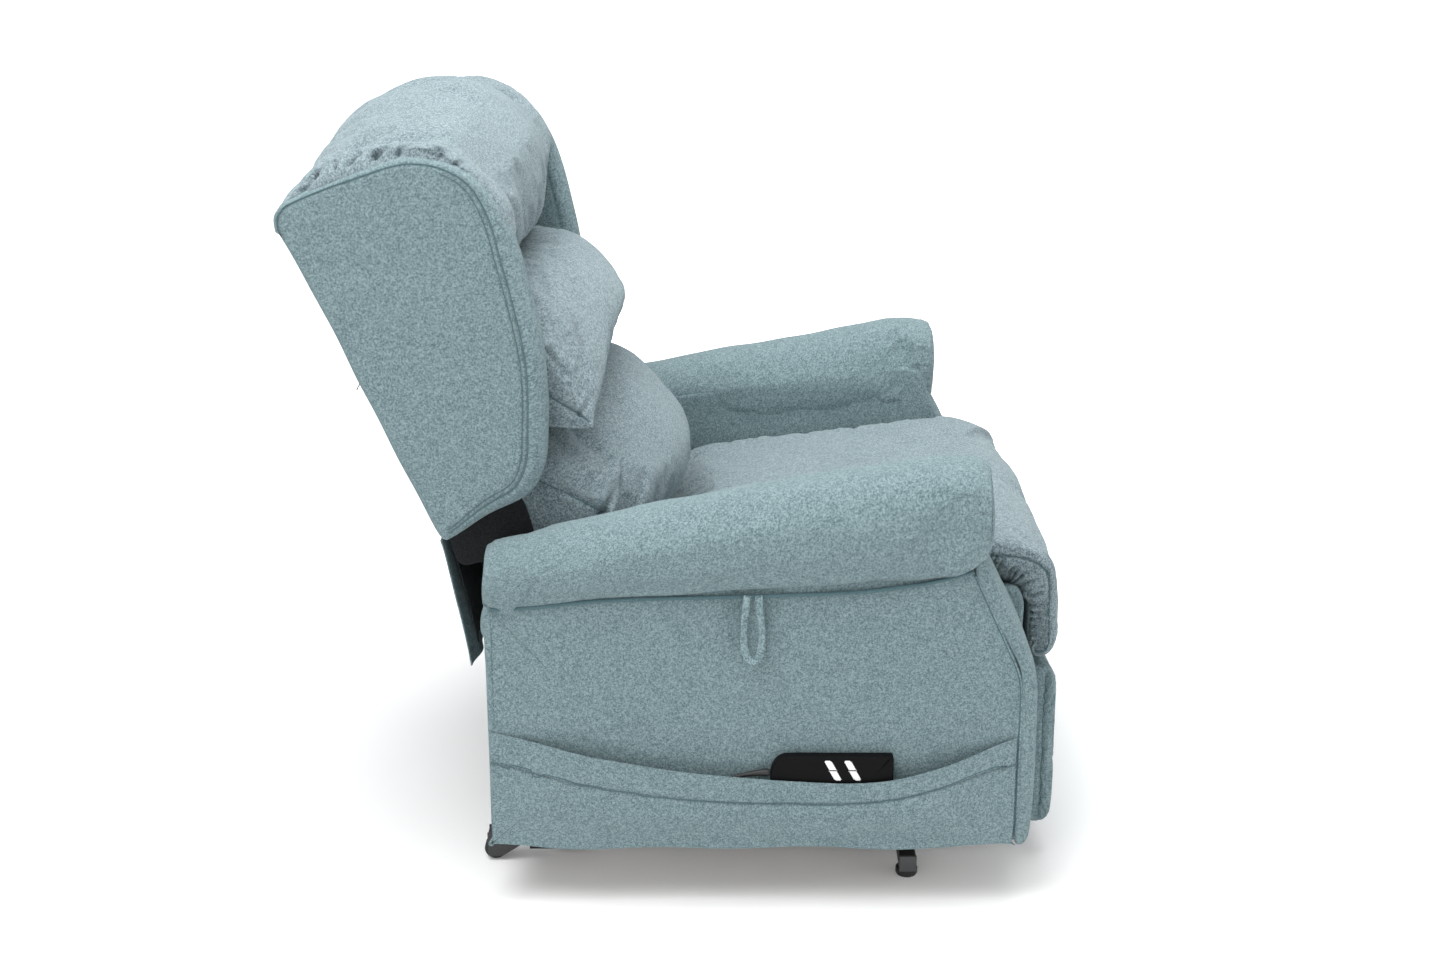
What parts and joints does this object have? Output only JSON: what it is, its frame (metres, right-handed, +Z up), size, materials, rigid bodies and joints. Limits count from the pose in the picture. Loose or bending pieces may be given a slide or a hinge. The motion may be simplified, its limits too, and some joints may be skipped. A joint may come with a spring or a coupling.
{
  "type": "lift recliner armchair",
  "caption": "Wide wing-back lift recliner armchair in woven fabric: rising base, reclining back, folding leg rest, scroll arms and a handset in a side pocket.",
  "frame": {"origin": "on the floor, halfway across the overall width and halfway along the overall depth, in the seated pose of the picture", "axes": "+Z up; the chair faces -Y; +X is the sitter's left, so the pocket, handset and pull loop are on the -X side"},
  "size_m": [1, 1.1062, 1.1317],
  "materials": {
    "black_steel": "satin black",
    "zinc_steel": "zinc plated",
    "black_plastic": "matt",
    "grey_plastic": "matt",
    "white_plastic": "gloss",
    "black_rubber": "matt",
    "plywood": "bare",
    "teal_weave": "two-tone woven",
    "teal_soft": "woven, brushed by use",
    "black_lining": "non-woven"
  },
  "bodies": {
    "base": {"base_frame": "black_steel", "floor_glide_left": "black_plastic", "floor_glide_right": "black_plastic", "tube_cap_left": "grey_plastic", "tube_cap_right": "grey_plastic", "wheel_bracket_left": "black_steel", "wheel_bracket_right": "black_steel", "power_supply": "black_plastic", "lift_shaft_rear_arm": "zinc_steel", "lift_shaft_front_arm": "zinc_steel"},
    "wheel_left": {"rear_wheel_left": "black_rubber"},
    "wheel_right": {"rear_wheel_right": "black_rubber"},
    "rear_arm": {"lift_arm_rear": "black_steel"},
    "front_arm": {"lift_arm_front": "black_steel"},
    "lift_motor_body": {"lift_motor": "black_plastic"},
    "lift_motor_rod": {"lift_rod": "zinc_steel"},
    "chassis": {"chassis_frame": "black_steel", "chassis_shaft": "zinc_steel", "front_arm_pin_left": "zinc_steel", "front_arm_pin_right": "zinc_steel", "leg_rest_shaft": "zinc_steel", "back_shaft": "zinc_steel", "seat_deck": "black_lining", "side_frame_left": "plywood", "side_frame_right": "plywood", "side_cover_left": "teal_weave", "side_cover_right": "teal_weave", "inner_cover_left": "teal_weave", "inner_cover_right": "teal_weave", "arm_pad_left": "teal_weave", "arm_pad_right": "teal_weave", "front_facing_left": "teal_weave", "front_facing_right": "teal_weave", "side_pocket": "teal_weave", "pull_loop": "teal_weave", "seat_cushion": "teal_soft", "front_rail": "teal_weave"},
    "handset": {"handset_case": "black_plastic"},
    "button_1": {"handset_button_1": "white_plastic"},
    "button_2": {"handset_button_2": "white_plastic"},
    "button_3": {"handset_button_3": "white_plastic"},
    "button_4": {"handset_button_4": "white_plastic"},
    "back": {"back_frame": "black_steel", "back_panel": "teal_weave", "wing_left": "teal_weave", "wing_right": "teal_weave", "head_cushion": "teal_soft", "middle_cushion": "teal_soft", "lower_cushion": "teal_soft", "rear_flap": "black_lining"},
    "back_motor_body": {"back_motor": "black_plastic"},
    "back_motor_rod": {"back_rod": "zinc_steel"},
    "leg_lower": {"leg_lower_links": "black_steel"},
    "leg_upper": {"leg_upper_links": "black_steel"},
    "footrest": {"footrest_bracket": "black_steel", "footrest_board": "teal_weave"},
    "calf": {"calf_pad": "teal_soft"},
    "leg_motor_body": {"leg_motor": "black_plastic"},
    "leg_motor_rod": {"leg_rod": "zinc_steel"}
  },
  "joints": [
    {"name": "lift", "type": "hinge", "parent": "base", "child": "rear_arm", "pos_m": [0, -0.2, 0.17], "axis": [1, 0, 0], "range_deg": [0, 60]},
    {"name": "lift_front", "type": "hinge", "parent": "base", "child": "front_arm", "pos_m": [0, -0.2256, 0.215], "axis": [1, 0, 0], "range_deg": [-0.2, 62]},
    {"name": "chassis_tilt", "type": "hinge", "parent": "rear_arm", "child": "chassis", "pos_m": [0, 0.163, 0.139], "axis": [1, 0, 0], "range_deg": [-35.2, 0.2]},
    {"name": "lift_motor_swing", "type": "hinge", "parent": "base", "child": "lift_motor_body", "pos_m": [0, 0.185, 0.055], "axis": [1, 0, 0], "range_deg": [-2, 0.2]},
    {"name": "lift_rod_slide", "type": "slide", "parent": "lift_motor_body", "child": "lift_motor_rod", "axis": [0, -0.8913, 0.4534], "range_m": [-0.0005, 0.086]},
    {"name": "back_recline", "type": "hinge", "parent": "chassis", "child": "back", "pos_m": [0, 0.2, 0.36], "axis": [-1, 0, 0], "range_deg": [-12, 30]},
    {"name": "back_motor_swing", "type": "hinge", "parent": "chassis", "child": "back_motor_body", "pos_m": [0.12, 0.02, 0.265], "axis": [1, 0, 0], "range_deg": [-0.6, 1.2]},
    {"name": "back_rod_slide", "type": "slide", "parent": "back_motor_body", "child": "back_motor_rod", "axis": [0, 0.9983, 0.0579], "range_m": [-0.0445, 0.018]},
    {"name": "leg_rest", "type": "hinge", "parent": "chassis", "child": "leg_lower", "pos_m": [0, -0.4, 0.3], "axis": [-1, 0, 0], "range_deg": [0, 85]},
    {"name": "leg_knee", "type": "hinge", "parent": "leg_lower", "child": "leg_upper", "pos_m": [0, -0.42, 0.09], "axis": [-1, 0, 0], "range_deg": [-96, 0.5]},
    {"name": "footrest_turn", "type": "hinge", "parent": "leg_upper", "child": "footrest", "pos_m": [0, -0.505, 0.27], "axis": [-1, 0, 0], "range_deg": [-0.5, 91]},
    {"name": "calf_turn", "type": "hinge", "parent": "chassis", "child": "calf", "pos_m": [0, -0.545, 0.45], "axis": [-1, 0, 0], "range_deg": [-0.5, 81]},
    {"name": "leg_motor_swing", "type": "hinge", "parent": "chassis", "child": "leg_motor_body", "pos_m": [-0.12, -0.045, 0.255], "axis": [1, 0, 0], "range_deg": [-0.2, 2.6]},
    {"name": "leg_rod_slide", "type": "slide", "parent": "leg_motor_body", "child": "leg_motor_rod", "axis": [0, -1, 0.0059], "range_m": [-0.0005, 0.0825]},
    {"name": "handset_lift", "type": "slide", "parent": "chassis", "child": "handset", "axis": [0, 0, 1], "range_m": [0, 0.15]},
    {"name": "button_1_press", "type": "slide", "parent": "handset", "child": "button_1", "axis": [1, 0, 0], "range_m": [0, 0.0008]},
    {"name": "button_2_press", "type": "slide", "parent": "handset", "child": "button_2", "axis": [1, 0, 0], "range_m": [0, 0.0008]},
    {"name": "button_3_press", "type": "slide", "parent": "handset", "child": "button_3", "axis": [1, 0, 0], "range_m": [0, 0.0008]},
    {"name": "button_4_press", "type": "slide", "parent": "handset", "child": "button_4", "axis": [1, 0, 0], "range_m": [0, 0.0008]},
    {"name": "wheel_left_spin", "type": "hinge", "parent": "base", "child": "wheel_left", "pos_m": [0.33575, 0.29, 0.017], "axis": [1, 0, 0], "continuous": true},
    {"name": "wheel_right_spin", "type": "hinge", "parent": "base", "child": "wheel_right", "pos_m": [-0.33575, 0.29, 0.017], "axis": [1, 0, 0], "continuous": true}
  ],
  "couplings": [
    {"joint": "lift_front", "follows": "lift", "ratio": 1.0228},
    {"joint": "chassis_tilt", "follows": "lift", "ratio": -0.58333},
    {"joint": "lift_motor_swing", "follows": "lift", "ratio": -0.02925},
    {"joint": "lift_rod_slide", "follows": "lift", "m_per_rad": 0.081198},
    {"joint": "back_motor_swing", "follows": "back_recline", "ratio": 0.028},
    {"joint": "back_rod_slide", "follows": "back_recline", "m_per_rad": -0.083786},
    {"joint": "leg_knee", "follows": "leg_rest", "ratio": -1.1176},
    {"joint": "footrest_turn", "follows": "leg_rest", "ratio": 1.0588},
    {"joint": "calf_turn", "follows": "leg_rest", "ratio": 0.94118},
    {"joint": "leg_motor_swing", "follows": "leg_rest", "ratio": 0.028659},
    {"joint": "leg_rod_slide", "follows": "leg_rest", "m_per_rad": 0.054889}
  ]
}
